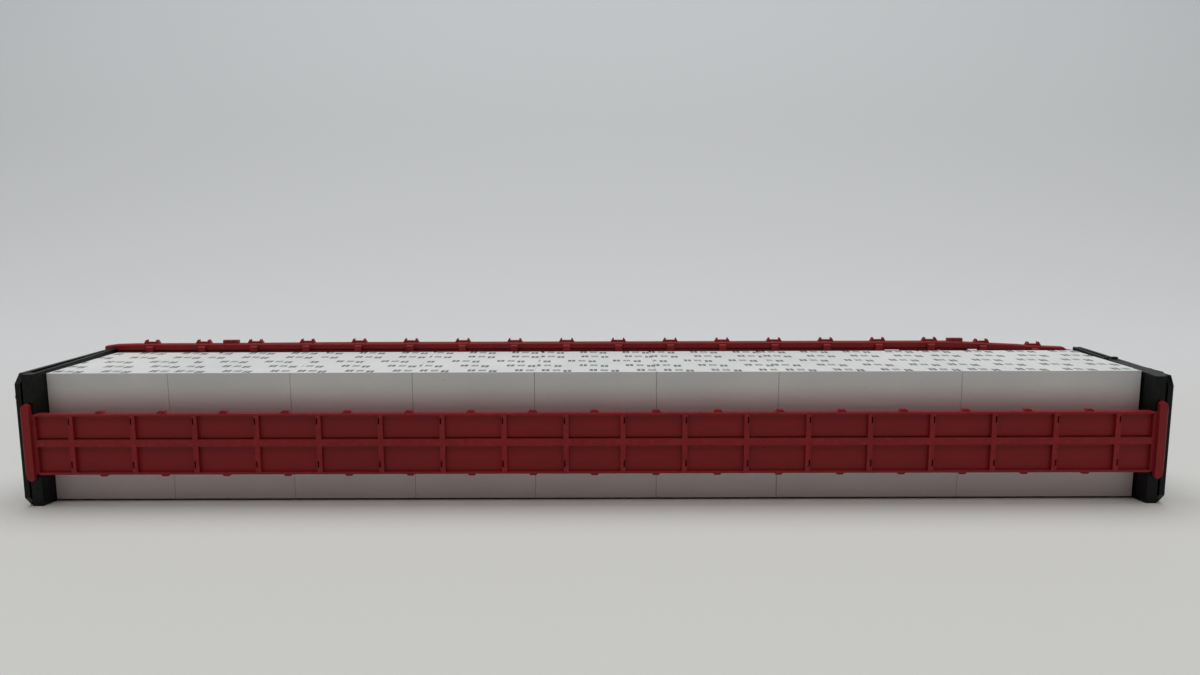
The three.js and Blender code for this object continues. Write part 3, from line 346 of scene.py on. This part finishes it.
def lathe(bm, outline, centre, axis, seg=64, closed=False):
    """Adds a surface of revolution: outline of (radius, along) in mm about an axis (0 x, 1 y, 2 z)."""
    c = Vector(centre)
    u, v, w = [(Vector((1, 0, 0)), Vector((0, 1, 0)), Vector((0, 0, 1))),
               (Vector((0, 1, 0)), Vector((0, 0, 1)), Vector((1, 0, 0))),
               (Vector((0, 0, 1)), Vector((1, 0, 0)), Vector((0, 1, 0)))][axis]
    rings = []
    for r, a in outline:
        if r <= 0:
            rings.append([bm.verts.new(c + u * a * MM)])
        else:
            rings.append([bm.verts.new(c + (u * a + v * r * math.cos(t) + w * r * math.sin(t)) * MM)
                          for t in (2 * math.pi * k / seg for k in range(seg))])
    pairs = list(zip(rings, rings[1:])) + ([(rings[-1], rings[0])] if closed else [])
    for p, q in pairs:
        for k in range(seg):
            n = (k + 1) % seg
            if len(p) == 1 and len(q) > 1:
                bm.faces.new((p[0], q[k], q[n]))
            elif len(q) == 1 and len(p) > 1:
                bm.faces.new((p[k], q[0], p[n]))
            elif len(p) > 1:
                bm.faces.new((p[k], q[k], q[n], p[n]))


def block(bm, centre, half, taper=1.0):
    """Adds a box whose far Y face is scaled by taper; centre in metres, half sizes in mm."""
    c = Vector(centre)
    vs = []
    for y in (-1, 1):
        f = taper if y > 0 else 1.0
        for x, z in ((-1, -1), (1, -1), (1, 1), (-1, 1)):
            vs.append(bm.verts.new(c + Vector((x * half[0] * f, y * half[1], z * half[2] * f)) * MM))
    for f in ((0, 1, 2, 3), (7, 6, 5, 4), (0, 4, 5, 1), (1, 5, 6, 2), (2, 6, 7, 3), (3, 7, 4, 0)):
        bm.faces.new([vs[i] for i in f])


def mesh_object(name, bm):
    bmesh.ops.recalc_face_normals(bm, faces=bm.faces)
    me = bpy.data.meshes.new(name)
    bm.to_mesh(me)
    bm.free()
    me.polygons.foreach_set("use_smooth", [True] * len(me.polygons))
    me.set_sharp_from_angle(angle=math.radians(40))
    return bpy.data.objects.new(name, me)


def curve_object(name, splines, depth):
    """Round wire along open or closed polylines: (points in metres, cyclic, point radii)."""
    cu = bpy.data.curves.new(name, "CURVE")
    cu.dimensions, cu.bevel_depth, cu.bevel_resolution, cu.use_fill_caps = "3D", depth * MM, 3, True
    for pts, cyclic, radii in splines:
        sp = cu.splines.new("POLY")
        sp.points.add(len(pts) - 1)
        for k, pt in enumerate(pts):
            sp.points[k].co = (*pt, 1)
            sp.points[k].radius = radii[k] if radii else 1.0
        sp.use_cyclic_u, sp.use_smooth = cyclic, True
    return bpy.data.objects.new(name, cu)


# wheels: thin tread, rounded flange, dished plate and raised hub
for name in [n for n in nodes if n.startswith("wheel_")]:
    c, size = centre_of(name)
    s = 1 if name.endswith("_a") else -1
    r, hz = size.x / 2 / MM, size.z / 2 / MM
    t = r - 0.62
    outline = [
        (1.15, -hz), (2.0, -hz), (2.2, -hz + 0.35), (t - 1.0, -hz + 0.35), (t - 0.7, -hz + 0.02), (r - 0.25, -hz),
        (r - 0.06, -hz + 0.07), (r, -hz + 0.24), (r - 0.08, -hz + 0.44), (r - 0.35, -hz + 0.62), (t + 0.12, -hz + 0.80),
        (t + 0.02, -hz + 1.0), (t - 0.06, hz - 0.12), (t - 0.16, hz), (t - 0.95, hz), (t - 1.1, hz - 0.1),
        (t - 1.35, hz - 0.62), (t - 1.6, hz - 0.78), (2.25, hz - 0.86), (1.95, hz - 0.76), (1.78, hz - 0.2), (1.66, hz - 0.08), (1.15, hz - 0.08)]
    bm = bmesh.new()
    lathe(bm, [(q, a * s) for q, a in outline], c, 2, 72, closed=True)
    finish_piece(mesh_object("turned_" + name, bm), "wheel_metal", BODY[name], name)

# axles: turned pin ends and a groove on each side of the wheel seats
for name in [n for n in nodes if n.startswith("axle_")]:
    c, size = centre_of(name)
    h, r = size.z / 2 / MM, size.x / 2 / MM
    half = [(0.0, h), (0.05, h - 0.02), (0.12, h - 0.05), (0.68, h - 1.1), (0.70, h - 1.16), (0.70, h - 2.0), (r - 0.06, h - 2.18),
            (r, h - 2.26), (r, 6.2), (r - 0.09, 6.1), (r - 0.09, 5.7), (r, 5.6), (r, 0.4), (r - 0.05, 0.34)]
    bm = bmesh.new()
    lathe(bm, half + [(q, -a) for q, a in reversed(half)], c, 2, 40)
    finish_piece(mesh_object("turned_" + name, bm), "axle_steel", BODY[name], name)

# trucks: wound springs and bearing end caps with three bolts each
for end in ("left", "right"):
    body = BODY["truck_frame_" + end]
    ca, cb = centre_of(f"axle_{end}_outer")[0], centre_of(f"axle_{end}_inner")[0]
    mid = (ca + cb) / 2
    for tag, s in (("upper", 1), ("lower", -1)):
        splines = []
        for x in (-1.45, 0.0, 1.45):
            pts, turns, per = [], 6.5, 18
            for k in range(int(turns * per) + 1):
                a = 2 * math.pi * k / per
                y = 0.9 - 1.72 + 3.44 * k / (turns * per)
                pts.append(mid + Vector((x + 0.56 * math.cos(a), y, s * 12.05 + 0.56 * math.sin(a))) * MM)
            splines.append((pts, False, None))
        finish_piece(curve_object(f"coil_springs_{end}_{tag}", splines, 0.13), "truck_plastic", body)
        bm = bmesh.new()
        face = (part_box("truck_frame_" + end)[1].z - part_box("truck_frame_" + end)[0].z) / 2 / MM
        for c in (ca, cb):
            lathe(bm, [(q, s * a) for q, a in (
                (0, face + 0.16), (0.30, face + 0.15), (0.34, face + 0.06), (0.78, face + 0.05),
                (0.86, face - 0.02), (0.88, face - 0.25), (0, face - 0.25))], (c.x, c.y, mid.z), 2, 32)
            for k in range(3):
                a = math.radians(90 + 120 * k)
                lathe(bm, [(q, s * z) for q, z in ((0, face + 0.15), (0.10, face + 0.15), (0.13, face + 0.12), (0.13, face), (0, face))],
                      (c.x + 0.56 * math.cos(a) * MM, c.y + 0.56 * math.sin(a) * MM, mid.z), 2, 6)
        finish_piece(mesh_object(f"bearing_caps_{end}_{tag}", bm), "truck_plastic", body)

# brake wheel: round rim, five bowed spokes and a turned hub with a nut
c, size = centre_of("brake_wheel")
x_rim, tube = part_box("brake_wheel")[0].x + 0.35 * MM, 0.26
big = size.y / 2 / MM - tube
ring = [Vector((x_rim, c.y + big * MM * math.cos(a), c.z + big * MM * math.sin(a)))
        for a in (2 * math.pi * k / 64 for k in range(64))]
splines = [(ring, True, None)]
for k in range(5):
    a = 2 * math.pi * k / 5
    pts, radii = [], []
    for i in range(9):
        q = 0.35 + (big - 0.35) * i / 8
        bow = 0.28 * math.sin(math.pi * i / 8)
        pts.append(Vector((x_rim + (0.12 - 0.12 * i / 8 + bow) * MM, c.y + q * MM * math.cos(a), c.z + q * MM * math.sin(a))))
        radii.append(0.72 - 0.1 * math.sin(math.pi * i / 8))
    splines.append((pts, False, radii))
finish_piece(curve_object("brake_wheel_rim", splines, tube), "black_plastic", BODY["brake_wheel"], "brake_wheel")
bm = bmesh.new()
lathe(bm, [(0, -0.35), (0.26, -0.34), (0.30, -0.28), (0.30, -0.06), (0.52, -0.04), (0.58, 0.04), (0.58, 0.30), (0.40, 0.42), (0.36, 0.85), (0, 0.85)],
      (x_rim, c.y, c.z), 0, 36)
finish_piece(mesh_object("brake_wheel_hub", bm), "black_plastic", BODY["brake_wheel"])

# air reservoir: domed ends, two weld bands, strapped saddles
c, size = centre_of("air_reservoir")
lo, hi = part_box("air_reservoir")
r = size.z / 2 / MM
axis_y = hi.y - r * MM
L = size.x / 2 / MM
bm = bmesh.new()
dome = [(0.0, L), (0.30 * r, L - 0.05), (0.60 * r, L - 0.24), (0.84 * r, L - 0.58), (0.96 * r, L - 0.95), (0.985 * r, L - 1.2)]
half = dome + [(0.985 * r, L - 1.28), (r, L - 1.32), (r, L - 1.55), (0.985 * r, L - 1.6), (0.985 * r, 1.9),
               (r, 1.86), (r, 1.45), (0.985 * r, 1.4), (0.985 * r, 0.3)]
lathe(bm, half + [(q, -a) for q, a in reversed(half)], (c.x, axis_y, c.z), 0, 56)
for u in (-2.6, 2.6):
    block(bm, (c.x + u * MM, (lo.y + axis_y) / 2, c.z), (0.45, (axis_y - lo.y) / 2 / MM, 1.15))
    for v in (-0.95, 0.95):
        lathe(bm, [(0, 0.35), (0.16, 0.32), (0.22, 0.2), (0.22, 0.0), (0, 0.0)], (c.x + (u + 0.62) * MM, lo.y, c.z + v * MM), 1, 6)
finish_piece(mesh_object("air_reservoir_drum", bm), "red_plastic", BODY["air_reservoir"], "air_reservoir", bevel=0.06)

# brake cylinder: bolted flange, tapered nose, piston rod with a clevis, bracket
lo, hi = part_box("brake_cylinder")
r = (hi.z - lo.z) / 2 / MM
cx, cz, cy = hi.x - 5.1 * MM, (lo.z + hi.z) / 2, hi.y - r * MM
bm = bmesh.new()
lathe(bm, [(0, -4.0), (1.5, -4.0), (1.95, -3.85), (2.1, -3.6), (2.1, -2.0), (r, -1.96), (r, -1.62), (2.14, -1.58), (r, -1.54), (r, -1.25),
           (2.1, -1.2), (2.1, 1.1), (1.9, 1.2), (1.25, 2.6), (0.85, 3.75), (0.62, 3.8), (0.35, 3.85), (0.35, 4.5), (0.55, 4.55), (0.55, 5.02), (0.4, 5.1), (0, 5.1)],
      (cx, cy, cz), 0, 48)
for k in range(8):
    a = 2 * math.pi * (k + 0.5) / 8
    lathe(bm, [(0, -1.12), (0.12, -1.12), (0.15, -1.16), (0.15, -1.26), (0, -1.26)],
          (cx, cy + 2.27 * MM * math.cos(a), cz + 2.27 * MM * math.sin(a)), 0, 6)
block(bm, (cx - 1.2 * MM, (lo.y + cy) / 2, cz), (1.35, (cy - lo.y) / 2 / MM, 0.95))
finish_piece(mesh_object("brake_cylinder_body", bm), "red_plastic", BODY["brake_cylinder"], "brake_cylinder", bevel=0.05)

# ------------------------------------------------------- floor and backdrop
def floor_mesh():
    """A pale sheet: the car rests on its lower bracket tips and the bulkheads' near corners, then sweeps up far behind."""
    slope = -(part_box("bulkhead_left")[0].z) / 0.0344
    y0 = 0.0125
    prof = []
    for y in (-3.0, -1.2, -0.5, -0.2, 0.0, 0.2, 0.35, 0.45):
        prof.append((y, slope * (y - y0)))
    yc, zc0, r, rise = 0.45, slope * (0.45 - y0), 1.1, math.radians(38)
    for i in range(1, 13):
        a = rise * i / 12
        prof.append((yc + r * math.sin(a), zc0 + r * (1 - math.cos(a))))
    prof.append((prof[-1][0] + 1.6, prof[-1][1] + 1.6 * math.tan(rise)))
    me = bpy.data.meshes.new("floor")
    vs, fs = [], []
    for i, (y, z) in enumerate(prof):
        vs += [(-3.0, y, z), (3.0, y, z)]
        if i:
            fs.append((2 * i - 2, 2 * i - 1, 2 * i + 1, 2 * i))
    me.from_pydata(vs, [], fs)
    me.polygons.foreach_set("use_smooth", [True] * len(me.polygons))
    o = bpy.data.objects.new("floor", me)
    bpy.context.scene.collection.objects.link(o)
    m = Nodes("pale_paper_floor")
    x, y, z = m.xyz(m.co)
    # the sheet is warmer and a little darker in front of the car than behind it
    warm = m.remap(y, 0.0, 0.5, 0.0, 1.0, True)
    col = m.mix(warm, (0.600, 0.600, 0.585, 1), (0.645, 0.650, 0.660, 1))
    # painted shade: the sheet is darkened further up the backdrop behind the car, standing in for the light falling off
    col = m.mix(m.remap(y, 0.35, 1.2, 0.0, 1.0, True), col, (0.560, 0.574, 0.586, 1))
    col = m.mix(m.remap(m.noise(700.0, 3.0, 0.6), 0.3, 0.7, 0.0, 0.05), col, (0.5, 0.5, 0.5, 1))
    m.link(col, m.bsdf.inputs["Base Color"])
    m.bsdf.inputs["Roughness"].default_value = 0.75
    m.bsdf.inputs["Specular IOR Level"].default_value = 0.25
    m.link(m.bump(m.noise(2500.0, 3.0, 0.6), 0.05, 0.00003), m.bsdf.inputs["Normal"])
    me.materials.append(m.mat)
    return o


floor = floor_mesh()


def area(name, loc, target, sx, sy, power, color=(1, 1, 1)):
    l = bpy.data.lights.new(name, "AREA")
    l.shape, l.size, l.size_y, l.energy, l.color = "RECTANGLE", sx, sy, power, color
    o = bpy.data.objects.new(name, l)
    bpy.context.scene.collection.objects.link(o)
    o.location = loc
    o.rotation_mode = "QUATERNION"
    o.rotation_quaternion = (Vector(target) - Vector(loc)).to_track_quat("-Z", "Y")
    return o


area("overhead", (0.0, 0.62, 2.0), (0, 0.10, 0), 3.4, 2.3, 50.5, (0.975, 0.99, 1.0))
area("front_top", (0.0, -0.85, 1.55), (0, 0, 0.02), 2.0, 0.7, 8.2, (1.0, 0.925, 0.85))
world = bpy.data.worlds.new("studio")
bpy.context.scene.world = world
world.use_nodes = True
world.node_tree.nodes["Background"].inputs[0].default_value = (0.95, 0.97, 1.0, 1)
world.node_tree.nodes["Background"].inputs[1].default_value = 0.08
bpy.context.scene.view_settings.view_transform = "Standard"
bpy.context.scene.view_settings.look = "None"
